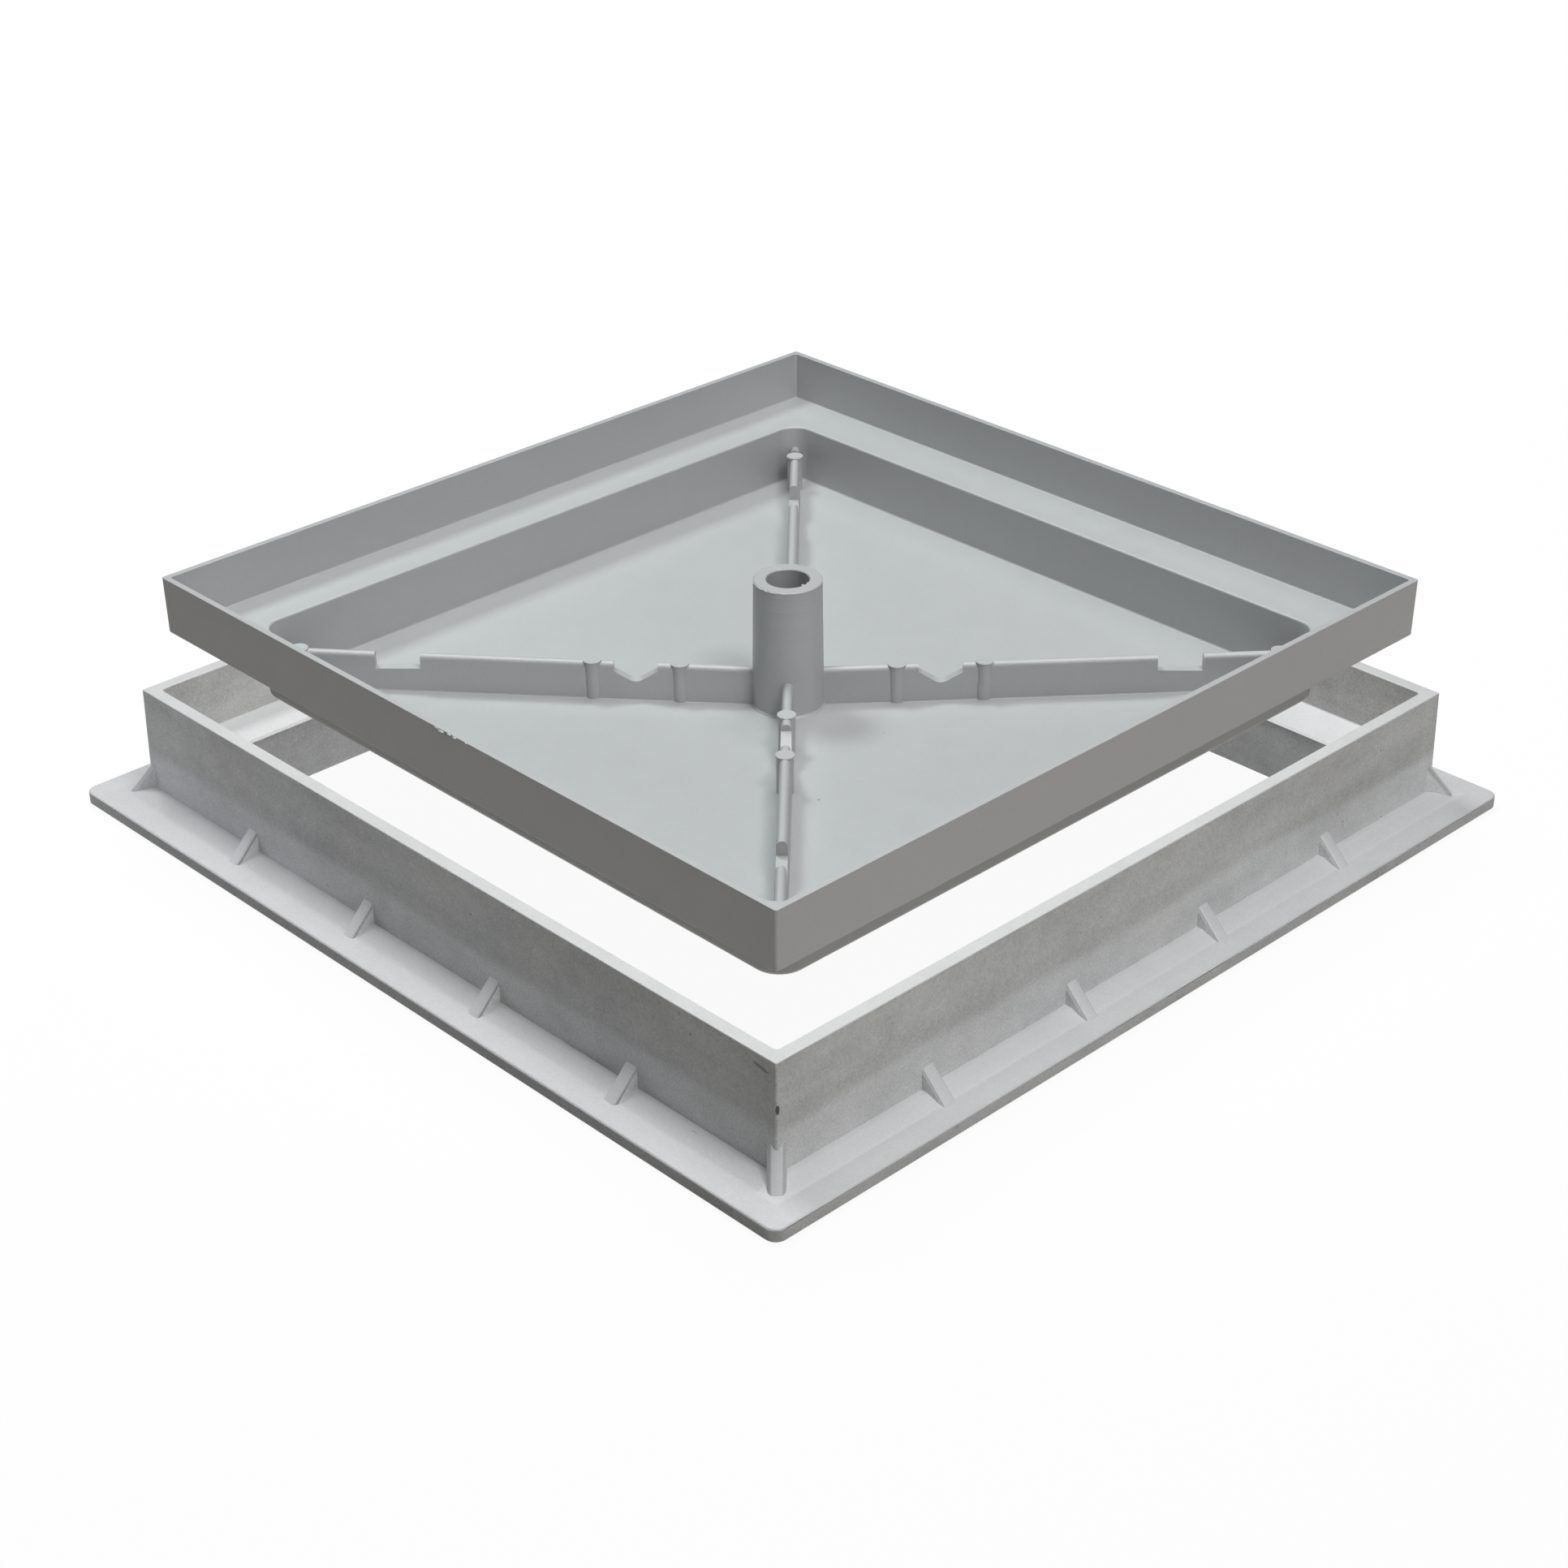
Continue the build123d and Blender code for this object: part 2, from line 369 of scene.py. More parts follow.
@dataclass(frozen=True)
class FrameFinish:
    """Sand-cast aluminium of the frame: blasted, cloudy walls and a faced rim.

    Places and heights are in metres. A step is 0 at its first number and 1 at its second.
    A tone is the share by which a zone or a pattern lightens or darkens the colour, and a
    warmth moves it from the cool colour towards the warm one.
    """

    wall_cool: Colour = (0.638, 0.642, 0.646)
    wall_warm: Colour = (0.596, 0.590, 0.568)
    flat: Colour = (0.646, 0.652, 0.660)
    faced: Colour = (0.672, 0.680, 0.684)
    dark: Colour = (0.060, 0.058, 0.054)
    roughness: float = 0.66
    metallic: float = 0.20
    patchy_roughness: float = 0.12
    rim_polish: float = 0.10

    level_facing: Step = (0.80, 0.97)
    upright_facing: Step = (0.50, 0.15)
    back_facing: tuple[Step, Step] = ((0.56, 0.61), (0.82, 0.77))
    left_facing: Step = (-0.5, -0.8)
    inside_reach: Step = (0.2925, 0.2915)
    far_inside_at: Step = (-0.270, -0.280)
    flange_side_reach: Step = (0.318, 0.322)
    near_corner_at: Step = (0.240, 0.294)
    not_right_at: Step = (0.297, 0.295)
    corner_fade: Step = (0.0005, 0.012)
    rim_height: Step = (0.0822, 0.0828)
    strip_height: Step = (0.030, 0.020)
    strip_reach: Step = (0.3125, 0.3105)
    lower_height: Step = (0.044, 0.035)
    band_height: Step = (0.057, 0.048)
    pit_depth: Step = (0.235, 0.30)

    clouds: Grain = Grain(0.070, 3.0, 1.0)
    streaks: Grain = Grain(0.022, 2.5, 4.0)
    patches: Grain = Grain(0.016, 3.0, 7.0)
    speckle: Grain = Grain(0.0016, 2.0, 11.0)
    grain: Grain = Grain(0.0007, 1.0, 13.0)
    waver: Grain = Grain(0.06, 1.0, 21.0)
    pits: Grain = Grain(0.0042, 1.0, 31.0)
    streak_stretch: float = 0.28
    waver_height: float = 0.016

    middle_warmth: float = 0.55
    middle_height: float = 0.045
    cloud_warmth: float = 1.5
    streak_warmth: float = 0.9
    height_warmth: float = 7.0
    lower_warmth: float = -0.35
    flange_side_warmth: float = 0.9
    wall_streak_tone: float = 0.48
    wall_patch_tone: float = 0.36
    wall_speckle_tone: float = 0.48
    wall_grain_tone: float = 0.42
    flat_cloud_tone: float = 0.12
    flat_patch_tone: float = 0.10
    flat_speckle_tone: float = 0.17
    flat_grain_tone: float = 0.12
    slope_speckle_tone: float = 0.20
    # Painted light: the lowest part of each wall is lightened for the light its leaning foot
    # catches
    lower_light_tone: float = 0.10
    band_tone: float = -0.04
    # Painted shade: the walls near the front corner are darkened beside the corner gusset
    near_corner_shade_tone: float = -0.06
    # Painted shade: walls that face -Y, away from the stronger lamps, are darkened
    left_wall_shade_tone: float = -0.06
    # Painted shade: walls inside the well are darkened, the inner face of the far left wall, which
    # faces +X, less so
    inside_shade_tone: float = -0.18
    far_inside_shade_lift: float = 0.14
    # Painted shade and light on the sloping faces: all are darkened, as shade in the fillets at the
    # walls' feet, and the gussets' backs are lightened beyond that, as lit faces
    blend_shade_tone: float = -0.20
    gusset_back_light_tone: float = 0.30
    # Painted light: the ledge inside the well is lightened against the shade it gets there
    ledge_light_tone: float = 0.09
    # Painted light and shade on the flange's strip by the walls' feet: lightened on the +X side,
    # where it tilts towards the lamps, and a little darker on the other sides, where it tilts away
    strip_tone: float = 0.09
    strip_left_shade_tone: float = -0.10
    # The flange's outer edge faces are darker and warmer; their extra darkening on every side but
    # +X is painted shade
    flange_side_tone: float = -0.17
    flange_side_left_shade_tone: float = -0.11

    nick: Lump = Lump((295.4, -294.6, 53.4), (1.1, 1.3, 3.2))
    scratch: Lump = Lump((283.4, -295.0, 75.4), (4.4, 2.0, 0.9))
    scratch_fall: float = 0.16
    scratch_start: float = 0.283
    dirt: Lump = Lump((-130.7, -299.0, 9.0), (1.6, 1.4, 4.0))
    ragged: float = 0.9
    ragged_scratch: float = 2.8
    scratch_strength: float = 0.55
    pit_strength: float = 0.35
    dirt_strength: float = 0.5
    mark_strength: float = 0.9

    speckle_height: float = 0.6
    grain_height: float = 0.5
    patch_height: float = 0.8
    grain_relief: float = 0.00025
    cloud_relief: float = 0.0011
    mark_relief: float = 0.0009
    lean_below: float = 0.040
    lower_lean: float = 0.050
    strip_end: float = 0.3115
    strip_fall: float = 0.050

    def zones(self, g: Graph, x: Wire, y: Wire, z: Wire) -> FrameZones:
        """Finds where each kind of surface lies.

        Args:
            g: the material's graph.
            x: place along X.
            y: place along Y.
            z: height.

        Returns:
            The zones.
        """
        _, to_y, up = g.axes(g.facing())
        reach = abs(x).most(abs(y))
        level = up.rise(*self.level_facing)
        upright = up.rise(*self.upright_facing)
        inside = reach.rise(*self.inside_reach)
        rim = z.rise(*self.rim_height) * level
        near, corner = self.near_corner_at
        return FrameZones(
            level=level,
            upright=upright,
            sloped=1 - level - upright,
            gusset_back=up.rise(*self.back_facing[0]) * up.rise(*self.back_facing[1]),
            left_wall=to_y.rise(*self.left_facing),
            inside=inside,
            far_inside=x.rise(*self.far_inside_at),
            flange_side=reach.rise(*self.flange_side_reach) * upright,
            near_corner=x.rise(near, corner) * y.rise(-near, -corner),
            not_right=x.rise(*self.not_right_at),
            clear_of_corners=abs(abs(x) - abs(y)).rise(*self.corner_fade) * upright,
            rim=rim,
            ledge=inside * level * (1 - rim),
            strip=level * z.rise(*self.strip_height) * reach.rise(*self.strip_reach),
        )

    def stretched(self, g: Graph, x: Wire, y: Wire, z: Wire) -> Wire:
        """Coordinates in which a pattern runs long along every wall.

        Args:
            g: the material's graph.
            x: place along X.
            y: place along Y.
            z: height.

        Returns:
            The coordinates.
        """
        along_x = abs(y) > abs(x)
        run = x * along_x + y * (1 - along_x)
        side = y * along_x + x * (1 - along_x)
        return g.vector(run * self.streak_stretch, side, z)

    def marks(self, g: Graph, at: Wire, patches: Wire, upright: Wire) -> Wire:
        """The dark flaws: a nick, a scratch, a speck of dirt and scattered pits.

        Args:
            g: the material's graph.
            at: place on the surface.
            patches: the pattern that makes their outlines uneven.
            upright: where the walls are.

        Returns:
            1 in a flaw, 0 elsewhere.
        """
        x, y, z = g.axes(at)
        uneven = patches * self.ragged
        nick = g.spot(at, self.nick, uneven)
        level_scratch = g.vector(x, y, z + (x - self.scratch_start) * self.scratch_fall)
        scratch = g.spot(level_scratch, self.scratch, patches * self.ragged_scratch)
        pits = g.noise(at, self.pits).rise(*self.pit_depth) * upright * self.pit_strength
        dirt = g.spot(at, self.dirt, uneven)
        return nick.most(scratch * self.scratch_strength).most(pits).most(dirt * self.dirt_strength)

    def material(self) -> bpy.types.Material:
        """Builds the material.

        Returns:
            The frame's material.
        """
        g = Graph("frame_cast_aluminium")
        at = g.place()
        x, y, z = g.axes(at)
        zone = self.zones(g, x, y, z)
        stretched = self.stretched(g, x, y, z)
        clouds = g.noise(at, self.clouds)
        streaks = g.noise(stretched, self.streaks) * zone.clear_of_corners
        patches = g.noise(at, self.patches)
        speckle = g.noise(at, self.speckle)
        grain = g.noise(at, self.grain)
        waver = g.noise(stretched, self.waver) * self.waver_height * zone.clear_of_corners
        height = z + waver
        lower = height.rise(*self.lower_height)
        band = height.rise(*self.band_height) * (1 - lower)

        warmth = self.middle_warmth + clouds * self.cloud_warmth + streaks * self.streak_warmth
        warmth = warmth + (z - self.middle_height) * self.height_warmth
        warmth = warmth + lower * self.lower_warmth + zone.flange_side * self.flange_side_warmth
        wall = g.blend(warmth.most(0.0).least(1.0), self.wall_cool, self.wall_warm)
        colour = g.blend(1 - zone.upright, wall, self.flat)
        colour = g.blend(zone.rim, colour, self.faced)

        on_walls = streaks * self.wall_streak_tone + patches * self.wall_patch_tone
        on_walls = on_walls + speckle * self.wall_speckle_tone + grain * self.wall_grain_tone
        # Painted light on the walls' lower zone; the band just above it is darker
        on_walls = on_walls + lower * self.lower_light_tone + band * self.band_tone
        # Painted shade on the walls beside the front corner gusset
        on_walls = on_walls + zone.near_corner * self.near_corner_shade_tone
        # Painted shade on the walls that face -Y
        on_walls = on_walls + zone.left_wall * self.left_wall_shade_tone
        # Painted shade inside the well, lighter on the far left inner face
        inside_shade_tone = zone.far_inside * self.far_inside_shade_lift + self.inside_shade_tone
        on_walls = on_walls + zone.inside * inside_shade_tone
        on_flats = clouds * self.flat_cloud_tone + patches * self.flat_patch_tone
        on_flats = on_flats + speckle * self.flat_speckle_tone + grain * self.flat_grain_tone
        # Painted shade in the fillets at the walls' feet and painted light on the gussets' backs
        on_slopes = speckle * self.slope_speckle_tone
        on_slopes = on_slopes + zone.gusset_back * self.gusset_back_light_tone + self.blend_shade_tone
        # Painted light on the +X side of the flange's strip, painted shade on its other sides
        strip_tone = zone.not_right * self.strip_left_shade_tone + self.strip_tone
        # Painted shade on the flange's outer edge faces off the +X side
        side_tone = zone.not_right * self.flange_side_left_shade_tone + self.flange_side_tone
        tone = 1.0 + on_walls * zone.upright + on_flats * zone.level + on_slopes * zone.sloped
        # Painted light on the ledge inside the well
        tone = tone + zone.ledge * self.ledge_light_tone
        # Painted light and shade on the flange's strip; outer edge faces darker, with painted shade
        # off the +X side
        tone = tone + zone.strip * strip_tone + zone.flange_side * side_tone
        marks = self.marks(g, at, patches, zone.upright)
        colour = g.blend(marks * self.mark_strength, g.shade(colour, tone), self.dark)

        reach = abs(x).most(abs(y))
        bumps = speckle * self.speckle_height + grain * self.grain_height
        normal = g.relief(bumps + patches * self.patch_height, self.grain_relief)
        normal = g.relief(clouds + streaks, self.cloud_relief, normal)
        lean = (self.lean_below - height).most(0.0) * self.lower_lean * zone.clear_of_corners
        fall = (self.strip_end - reach).most(0.0) * self.strip_fall * zone.strip
        normal = g.relief(lean + fall, 1.0, normal)
        normal = g.relief(1 - marks, self.mark_relief, normal)
        roughness = self.roughness + patches * self.patchy_roughness - zone.rim * self.rim_polish
        return g.surface(colour, roughness, normal, self.metallic)


@dataclass(frozen=True)
class CoverFinish:
    """Smooth matt aluminium of the lift-out tray. Its numbers mean what the frame's do."""

    flat: Colour = (0.556, 0.571, 0.577)
    wall: Colour = (0.526, 0.531, 0.536)
    outside: Colour = (0.524, 0.516, 0.498)
    faced: Colour = (0.560, 0.566, 0.568)
    dark: Colour = (0.100, 0.098, 0.094)
    roughness: float = 0.58
    metallic: float = 0.25
    patchy_roughness: float = 0.08
    rim_polish: float = 0.06

    level_facing: Step = (0.75, 0.97)
    under_facing: Step = (-0.2, -0.7)
    outward_facing: Step = (0.05, 0.12)
    rim_height: Step = (0.1620, 0.1627)
    tube_outside: Step = (0.0262, 0.0255)
    tube_inside: Step = (0.0150, 0.0160)
    turned_height: Step = (0.105, 0.160)

    clouds: Grain = Grain(0.110, 2.0, 3.0)
    patches: Grain = Grain(0.020, 2.0, 5.0)
    speckle: Grain = Grain(0.0014, 2.0, 9.0)
    turning: Grain = Grain(0.0011, 2.0, 6.0)
    turning_waver: Grain = Grain(0.03, 1.0, 2.0)
    waver_height: float = 0.0012
    cloud_tone: float = 0.05
    patch_tone: float = 0.04
    speckle_tone: float = 0.09
    turning_tone: float = 0.16

    speck: Lump = Lump((111.3, -82.4, 81.5), (0.9, 0.9, 4.0))
    faint_speck: Lump = Lump((76.7, 9.2, 78.0), (0.8, 0.8, 4.0))
    # Painted shadow: a dark band on the rim's outer face, under the chips
    rim_chip_shadow: Lump = Lump((5.5, -280.6, 161.7), (11.0, 2.2, 1.5))
    ragged: float = 0.8
    ragged_chip_shadow: float = 0.96
    speck_strength: float = 0.55
    faint_strength: float = 0.6
    chip_shadow_strength: float = 0.30

    speckle_height: float = 0.6
    patch_height: float = 0.5
    grain_relief: float = 0.00022
    cloud_relief: float = 0.0010
    turning_relief: float = 0.00012

    def specks_and_chip_shadow(self, g: Graph, at: Wire, colour: Wire, patches: Wire) -> Wire:
        """Adds two specks on the floor, and painted shadow as a dark band under the rim's chips.

        Args:
            g: the material's graph.
            at: place on the surface.
            colour: the clean colour.
            patches: the pattern that makes their outlines uneven.

        Returns:
            The stained colour.
        """
        uneven = patches * self.ragged
        speck = g.spot(at, self.speck, uneven)
        speck = speck.most(g.spot(at, self.faint_speck, uneven) * self.faint_strength)
        colour = g.blend(speck * self.speck_strength, colour, self.dark)
        # Painted shadow under the rim's chips
        chip_shadow = g.spot(at, self.rim_chip_shadow, patches * self.ragged_chip_shadow)
        return g.blend(chip_shadow * self.chip_shadow_strength, colour, self.dark)

    def turning_lines(self, g: Graph, at: Wire) -> Wire:
        """Fine level lines round the tube, a little wavy.

        Args:
            g: the material's graph.
            at: place on the surface.

        Returns:
            The pattern, over the whole tray.
        """
        _, _, z = g.axes(at)
        waver = g.noise(at, self.turning_waver) * self.waver_height
        return g.noise(g.vector(0.0, 0.0, z + waver), self.turning)

    def material(self) -> bpy.types.Material:
        """Builds the material.

        Returns:
            The tray's material.
        """
        g = Graph("cover_cast_aluminium")
        at = g.place()
        x, y, z = g.axes(at)
        to_x, to_y, up = g.axes(g.facing())
        level = up.rise(*self.level_facing)
        outward = (x * to_x + y * to_y).rise(*self.outward_facing)
        outside = outward.most(up.rise(*self.under_facing))
        rim = z.rise(*self.rim_height) * level
        around = g.length(g.vector(x, y, 0.0))
        tube = around.rise(*self.tube_outside) * around.rise(*self.tube_inside) * (1 - level)

        clouds = g.noise(at, self.clouds)
        patches = g.noise(at, self.patches)
        speckle = g.noise(at, self.speckle)
        turning = self.turning_lines(g, at) * tube

        wall = g.blend(outside, self.wall, self.outside)
        colour = g.blend(level, wall, self.flat)
        colour = g.blend(rim, colour, self.faced)
        mottle = 1.0 + clouds * self.cloud_tone + patches * self.patch_tone
        colour = g.shade(colour, mottle + speckle * self.speckle_tone)
        # Real specks on the floor, and painted shadow under the rim's chips
        colour = self.specks_and_chip_shadow(g, at, colour, patches)
        turned = z.rise(*self.turned_height) * self.turning_tone
        colour = g.shade(colour, 1.0 + turning * turned)

        bumps = speckle * self.speckle_height + patches * self.patch_height
        normal = g.relief(bumps, self.grain_relief)
        normal = g.relief(clouds, self.cloud_relief, normal)
        normal = g.relief(turning + 0.5, self.turning_relief, normal)
        roughness = self.roughness + patches * self.patchy_roughness - rim * self.rim_polish
        return g.surface(colour, roughness, normal, self.metallic)


@dataclass(frozen=True)
class Lamp:
    """One soft studio lamp, aimed at a point on the part."""

    name: str
    place: Point
    width: float
    power: float
    aim: Point = (0.0, 0.0, 0.1)
    colour: Colour = (1.0, 1.0, 1.0)

    def build(self, subject: str, lit: Objects, shading: Objects) -> None:
        """Adds the lamp for some of the objects only, as if each had been pictured alone.

        Args:
            subject: name of what the lamp is for.
            lit: objects that receive its light.
            shading: objects that cast shadows in it.
        """
        data = bpy.data.lights.new(f"{self.name}_{subject}", "AREA")
        data.shape = "SQUARE"
        data.size = self.width
        data.energy = self.power
        data.color = self.colour
        made = bpy.data.objects.new(data.name, data)
        made.location = self.place
        away = Vector(self.place) - Vector(self.aim)
        made.rotation_euler = away.to_track_quat("Z", "Y").to_euler()
        bpy.context.scene.collection.objects.link(made)
        receivers = bpy.data.collections.new(f"{data.name}_lights")
        blockers = bpy.data.collections.new(f"{data.name}_shadows")
        for group, members in ((receivers, lit), (blockers, shading)):
            for member in members:
                group.objects.link(member)
        made.light_linking.receiver_collection = receivers
        made.light_linking.blocker_collection = blockers
        log.info("lamp %s", made.name)


@dataclass
class Studio:
    """White floor, soft lamps, plain world and the photograph's camera, in metres."""

    floor_half: float = 30.0
    floor_bounce: Colour = (0.14, 0.14, 0.14)
    floor_lift: float = 0.94
    floor_fade: Step = (0.55, 1.60)
    world_level: float = 0.01
    eye: Point = (1.19742, -1.15518, 0.95170)
    right: Point = (0.695216, 0.718778, -0.005737)
    up: Point = (-0.349282, 0.344786, 0.871277)
    back: Point = (0.628233, -0.603722, 0.490757)
    sensor: float = 36.0
    lens: float = 67.006
    clip: Step = (0.01, 100.0)
    cover_lamps: tuple[Lamp, ...] = (
        Lamp("left_key", (-1.5, 0.07, 2.6), 0.7, 27.8, colour=(0.93, 1.01, 1.01)),
        Lamp("overhead", (0.1, 0.0, 2.8), 1.4, 29.7),
        Lamp("right_rear", (1.45, -0.15, 2.4), 0.7, 22.9),
        Lamp("rear", (-0.3, 1.2, 2.6), 1.0, 7.6),
        Lamp("right_fill", (3.0, -0.4, 1.2), 1.6, 11.5),
    )
    frame_lamps: tuple[Lamp, ...] = (
        Lamp("left_key", (-1.5, 0.02, 2.6), 0.7, 29.0),
        Lamp("overhead", (0.1, 0.0, 2.8), 1.4, 31.8),
        Lamp("right_rear", (1.45, -0.15, 2.4), 0.7, 23.2),
        Lamp("rear", (-0.3, 1.2, 2.6), 1.0, 2.4),
        Lamp("right_low", (3.2, -0.8, 0.25), 1.2, 15.5),
        Lamp("left_near", (-1.5, -1.3, 0.7), 0.8, 1.9),
        Lamp(
            "left_end", (-0.62, -0.60, 0.16), 0.35, 0.50, (-0.28, -0.29, 0.03), (0.93, 0.98, 1.08)
        ),
        Lamp("right_end", (0.70, 0.42, 0.80), 0.9, 0.48, (0.31, 0.28, 0.02)),
    )
    floor_lamps: tuple[Lamp, ...] = (Lamp("overhead", (-0.55, 0.25, 2.5), 1.7, 74.0),)

    def floor(self) -> bpy.types.Object:
        """Adds the floor, which looks white and keeps the part's shadow.

        Returns:
            The floor's object.
        """
        mesh = bpy.data.meshes.new("floor")
        form = bmesh.new()
        bmesh.ops.create_grid(form, x_segments=1, y_segments=1, size=self.floor_half)
        form.to_mesh(mesh)
        form.free()
        made = bpy.data.objects.new("floor", mesh)
        bpy.context.scene.collection.objects.link(made)
        g = Graph("floor_white")
        path = g.node("ShaderNodeLightPath")
        seen = (
            Wire(g, path.outputs["Is Camera Ray"])
            .most(Wire(g, path.outputs["Is Glossy Ray"]))
            .most(Wire(g, path.outputs["Is Transmission Ray"]))
        )
        matt = g.node("ShaderNodeBsdfDiffuse", sockets={"Color": WHITE}).outputs[0]
        glow = g.node("ShaderNodeEmission", sockets={"Color": WHITE, "Strength": 1.0}).outputs[0]
        away = g.length(g.place()).rise(*self.floor_fade)
        lift = away * (1 - self.floor_lift) + self.floor_lift
        shown = g.node("ShaderNodeMixShader", sockets={0: lift, 1: matt, 2: glow}).outputs[0]
        bounce = g.node("ShaderNodeBsdfDiffuse", sockets={"Color": (*self.floor_bounce, 1.0)})
        both = g.node("ShaderNodeMixShader", sockets={0: seen, 1: bounce.outputs[0], 2: shown})
        g.node("ShaderNodeOutputMaterial", sockets={"Surface": both.outputs[0]})
        mesh.materials.append(g.material)
        return made

    def world(self) -> None:
        """Sets a plain even world that looks white to the camera."""
        world = bpy.data.worlds.new("studio")
        bpy.context.scene.world = world
        world.use_nodes = True
        tree = world.node_tree
        tree.nodes.clear()
        path = tree.nodes.new("ShaderNodeLightPath")
        even = tree.nodes.new("ShaderNodeBackground")
        even.inputs["Strength"].default_value = self.world_level
        white = tree.nodes.new("ShaderNodeBackground")
        white.inputs["Color"].default_value = WHITE
        mix = tree.nodes.new("ShaderNodeMixShader")
        out = tree.nodes.new("ShaderNodeOutputWorld")
        tree.links.new(path.outputs["Is Camera Ray"], mix.inputs[0])
        tree.links.new(even.outputs[0], mix.inputs[1])
        tree.links.new(white.outputs[0], mix.inputs[2])
        tree.links.new(mix.outputs[0], out.inputs["Surface"])

    def camera(self) -> bpy.types.Object:
        """Adds the camera at the photograph's viewing angle.

        Returns:
            The camera's object.
        """
        data = bpy.data.cameras.new("camera")
        data.sensor_width = self.sensor
        data.lens = self.lens
        data.clip_start, data.clip_end = self.clip
        made = bpy.data.objects.new("camera", data)
        turn = Matrix((self.right, self.up, self.back)).transposed()
        made.matrix_world = Matrix.Translation(Vector(self.eye)) @ turn.to_4x4()
        bpy.context.scene.collection.objects.link(made)
        bpy.context.scene.camera = made
        return made

    def build(self, lower: Objects, lifted: Objects) -> None:
        """Adds the floor, the lamps, the world and the camera.

        Args:
            lower: the frame and the pieces on it.
            lifted: the tray and the pieces on it.
        """
        floor = self.floor()
        for lamp in self.cover_lamps:
            lamp.build("cover", lifted, lower + lifted)
        for lamp in self.frame_lamps:
            lamp.build("frame", lower, lower)
        for lamp in self.floor_lamps:
            lamp.build("floor", [floor], lower + lifted)
        self.world()
        self.camera()
        bpy.context.scene.view_settings.view_transform = "Standard"


def piece(
    name: str, form: bmesh.types.BMesh, material: bpy.types.Material
) -> bpy.types.Object:
    """Turns a finished mesh form into a piece of one casting.

    Args:
        name: the piece's name.
        form: its mesh form, in metres, which is freed.
        material: that casting's finish.

    Returns:
        The piece.
    """
    bmesh.ops.recalc_face_normals(form, faces=form.faces)
    mesh = bpy.data.meshes.new(name)
    form.to_mesh(mesh)
    form.free()
    mesh.shade_smooth()
    mesh.set_sharp_from_angle(angle=SHARP)
    mesh.materials.append(material)
    made = bpy.data.objects.new(name, mesh)
    bpy.context.scene.collection.objects.link(made)
    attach(made, "root")
    log.info("piece %s", name)
    return made


@dataclass
class Gussets:
    """Flat crisp backs of the small gussets that stand on the flange, in millimetres."""

    wall_reach: float = 296.29
    flange_top: float = 9.0
    pitch: float = 120.0
    count: int = 4
    sides: int = 4
    rise: float = 17.25
    reach: float = 17.25
    width: float = 10.0
    corner_reach: float = 13.75
    corner_width: float = 10.6
    edge_radius: float = 2.3
    corner_edge_radius: float = 3.5
    foot_bury: float = 3.5
    wall_bury: float = 3.5
    corner_wall_bury: float = 8.5
    edge_steps: int = 4

    def form(
        self, reach: float, width: float, edge_radius: float, wall_bury: float
    ) -> bmesh.types.BMesh:
        """One gusset against a wall whose face is at X = 0.

        Args:
            reach: how far its slope runs out from the wall.
            width: its width.
            edge_radius: radius of its back's two edges.
            wall_bury: how far it goes into the wall.

        Returns:
            Its mesh form, on the flange's top.
        """
        slope = self.rise / reach
        form = bmesh.new()
        outline = (
            (-wall_bury, -self.foot_bury),
            (reach + self.foot_bury / slope, -self.foot_bury),
            (-wall_bury, self.rise + wall_bury * slope),
        )
        corners = [form.verts.new((x * MM, -width / 2 * MM, z * MM)) for x, z in outline]
        side = form.faces.new(corners)
        grown = bmesh.ops.extrude_face_region(form, geom=[side])
        moved = [item for item in grown["geom"] if isinstance(item, bmesh.types.BMVert)]
        bmesh.ops.translate(form, verts=moved, vec=(0.0, width * MM, 0.0))
        # The two longest edges are those of the sloping back
        back = sorted(form.edges, key=lambda edge: edge.calc_length())[-2:]
        bmesh.ops.bevel(
            form,
            geom=back,
            offset=edge_radius * MM,
            offset_type="OFFSET",
            affect="EDGES",
            segments=self.edge_steps,
            profile=0.5,
            material=-1,
        )
        return form

    def build(self, material: bpy.types.Material) -> Objects:
        """Builds every gusset's back.

        Args:
            material: the frame's finish.

        Returns:
            The pieces.
        """
        made = []
        for side in range(self.sides):
            turn = Matrix.Rotation(radians(90 * side), 4, "Z")
            for number in range(self.count):
                along = (number - (self.count - 1) / 2) * self.pitch
                form = self.form(self.reach, self.width, self.edge_radius, self.wall_bury)
                place = Vector((self.wall_reach, along, self.flange_top)) * MM
                bmesh.ops.transform(form, matrix=turn @ Matrix.Translation(place), verts=form.verts)
                made.append(piece(f"gusset_{side + 1}_{number + 1}", form, material))
            form = self.form(
                self.corner_reach, self.corner_width, self.corner_edge_radius, self.corner_wall_bury
            )
            place = Vector((self.wall_reach * sqrt(2), 0.0, self.flange_top)) * MM
            diagonal = Matrix.Rotation(radians(90 * side + 45), 4, "Z")
            bmesh.ops.transform(form, matrix=diagonal @ Matrix.Translation(place), verts=form.verts)
            made.append(piece(f"corner_gusset_{side + 1}", form, material))
        return made


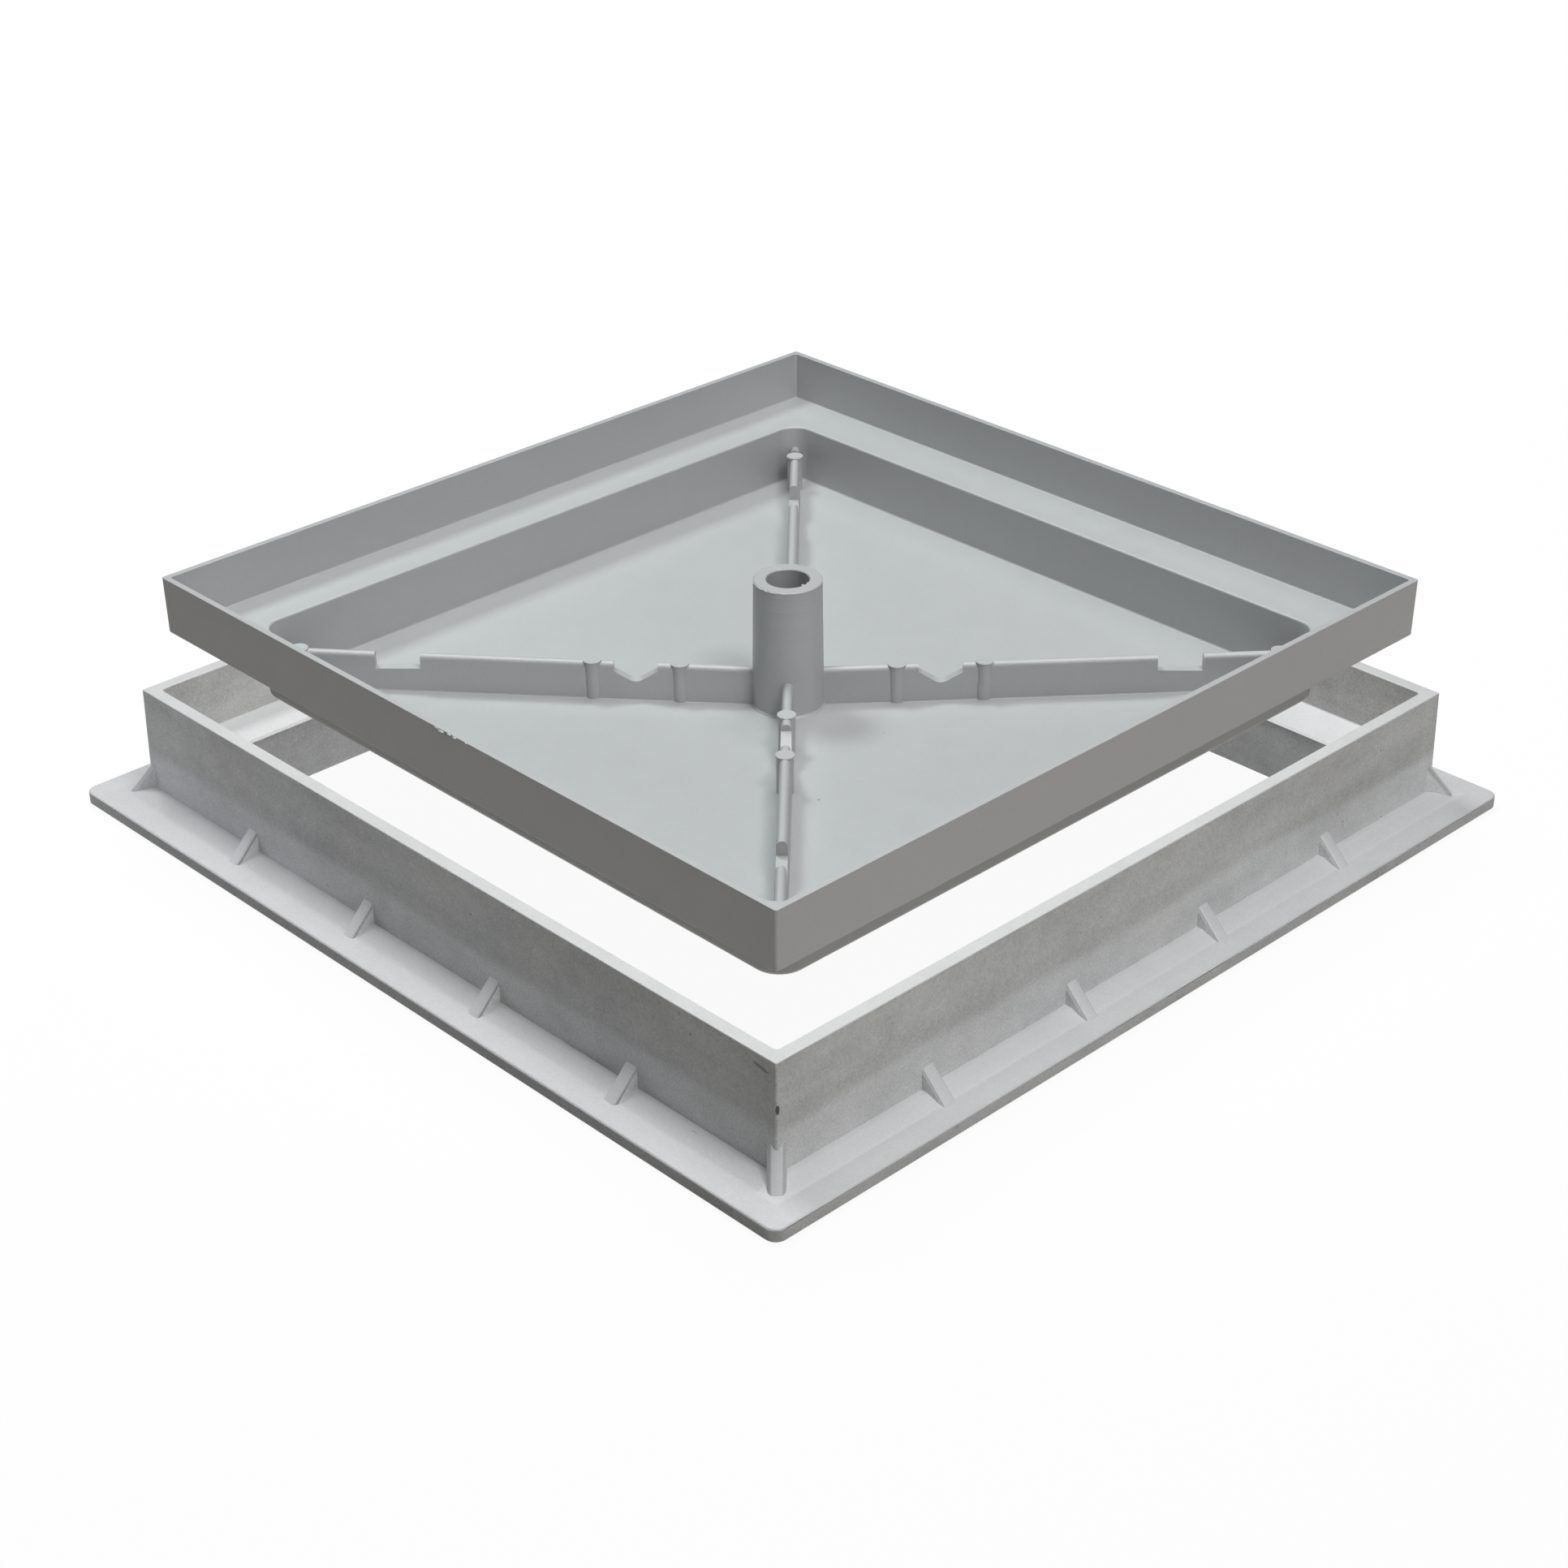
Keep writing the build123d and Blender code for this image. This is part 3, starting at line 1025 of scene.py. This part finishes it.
@dataclass
class CastingFlaws:
    """Burrs, chips and crumbs of metal left on the castings, in millimetres."""

    seed: int = 7
    tube_radius: float = 22.0
    tube_end: float = 163.0
    burr_section: tuple[Step, ...] = ((-0.9, -0.15), (0.12, -0.35), (0.0, -1.0), (-0.6, -1.1))
    burr_steps: int = 90
    ragged_towards: float = 245.0
    ragged_least: float = 0.06
    ragged_more: float = 0.30
    burr_out: Step = (-0.6, 1.0)
    burr_up: Step = (-1.0, 0.35)
    lump_unevenness: Step = (0.72, 1.12)
    bore_crumbs: tuple[Lump, ...] = (
        Lump((12.9, 0.8, 162.5), (1.2, 1.3, 0.4)),
        Lump((12.9, 4.9, 162.5), (0.9, 1.0, 0.4)),
    )
    rim_chips: tuple[Lump, ...] = (
        Lump((0.3, -280.1, 162.2), (3.0, 0.9, 0.7)),
        Lump((5.4, -280.7, 162.3), (2.9, 1.3, 0.6)),
        Lump((11.8, -280.1, 162.2), (2.6, 0.9, 0.7)),
        Lump((17.4, -280.4, 162.4), (1.8, 0.9, 0.5)),
        Lump((27.0, -280.0, 162.5), (1.1, 0.6, 0.4)),
    )
    wall_crumbs: tuple[Lump, ...] = (
        Lump((295.7, -174.6, 34.2), (0.7, 1.4, 1.1)),
        Lump((295.6, -172.0, 37.3), (0.6, 1.0, 0.8)),
        Lump((237.5, -300.5, 12.3), (4.0, 1.3, 0.7)),
        Lump((326.8, -319.4, 1.3), (1.0, 2.8, 0.7)),
    )

    def crumbs(self, lumps: tuple[Lump, ...], chance: random.Random) -> bmesh.types.BMesh:
        """Small uneven lumps.

        Args:
            lumps: the lumps.
            chance: source of the unevenness.

        Returns:
            Their mesh form.
        """
        form = bmesh.new()
        for lump in lumps:
            verts = bmesh.ops.create_icosphere(form, subdivisions=2, radius=1.0)["verts"]
            for vert in verts:
                vert.co *= chance.uniform(*self.lump_unevenness)
            bmesh.ops.scale(form, vec=Vector(lump.reach) * MM, verts=verts)
            bmesh.ops.translate(form, vec=Vector(lump.centre) * MM, verts=verts)
        return form

    def tube_burr(self, chance: random.Random) -> bmesh.types.BMesh:
        """Thin ragged lip round the tube's sawn end.

        Args:
            chance: source of the raggedness.

        Returns:
            Its mesh form.
        """
        form = bmesh.new()
        start = [
            form.verts.new(((self.tube_radius + out) * MM, 0.0, (self.tube_end + rise) * MM))
            for out, rise in self.burr_section
        ]
        face = form.faces.new(start)
        bmesh.ops.spin(
            form,
            geom=list(face.edges) + start,
            axis=(0.0, 0.0, 1.0),
            cent=(0.0, 0.0, 0.0),
            angle=radians(360),
            steps=self.burr_steps,
            use_merge=True,
        )
        bmesh.ops.delete(form, geom=[face], context="FACES_ONLY")
        angle = radians(self.ragged_towards)
        worst = Vector((cos(angle), sin(angle), 0.0))
        for vert in form.verts:
            outward = Vector((vert.co.x, vert.co.y, 0.0)).normalized()
            amount = self.ragged_least + self.ragged_more * max(0.0, outward.dot(worst))
            vert.co += outward * chance.uniform(*self.burr_out) * amount * MM
            vert.co.z += chance.uniform(*self.burr_up) * amount * MM
        return form

    def build(self, finishes: Finishes) -> dict[Slot, Objects]:
        """Builds the flaws of both castings.

        Args:
            finishes: the finish of each casting.

        Returns:
            The pieces of each casting.
        """
        chance = random.Random(self.seed)
        forms = {
            "tube_end_burr": (Slot.COVER, self.tube_burr(chance)),
            "bore_crumbs": (Slot.COVER, self.crumbs(self.bore_crumbs, chance)),
            "rim_chips": (Slot.COVER, self.crumbs(self.rim_chips, chance)),
            "wall_crumbs": (Slot.FRAME, self.crumbs(self.wall_crumbs, chance)),
        }
        made: dict[Slot, Objects] = {slot: [] for slot in Slot}
        for name, (slot, form) in forms.items():
            made[slot].append(piece(name, form, finishes[slot]))
        return made


@dataclass
class Castings:
    """The two castings as packed, their finishes and the pieces on them."""

    frame_finish: FrameFinish = FrameFinish()
    cover_finish: CoverFinish = CoverFinish()

    def dress(self, slot: Slot, material: bpy.types.Material) -> bpy.types.Object:
        """Gives one casting its finish.

        Args:
            slot: the casting.
            material: its finish.

        Returns:
            The casting's object.
        """
        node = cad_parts[slot.value]
        if node.data.materials:
            for number in range(len(node.data.materials)):
                node.data.materials[number] = material
        else:
            node.data.materials.append(material)
        log.info("finish %s on %s", material.name, node.name)
        return node

    def build(self) -> dict[Slot, Objects]:
        """Dresses both castings and adds their gussets' backs and flaws.

        Returns:
            All objects of each casting.
        """
        finishes: Finishes = {
            Slot.FRAME: self.frame_finish.material(),
            Slot.COVER: self.cover_finish.material(),
        }
        objects = {slot: [self.dress(slot, material)] for slot, material in finishes.items()}
        objects[Slot.FRAME] += Gussets().build(finishes[Slot.FRAME])
        for slot, pieces in CastingFlaws().build(finishes).items():
            objects[slot] += pieces
        return objects


def main() -> None:
    """Dresses the castings and builds the studio around them."""
    logging.basicConfig(level=logging.INFO, format="%(name)s: %(message)s")
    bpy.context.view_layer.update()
    objects = Castings().build()
    Studio().build(objects[Slot.FRAME], objects[Slot.COVER])


if __name__ == "__main__":
    main()
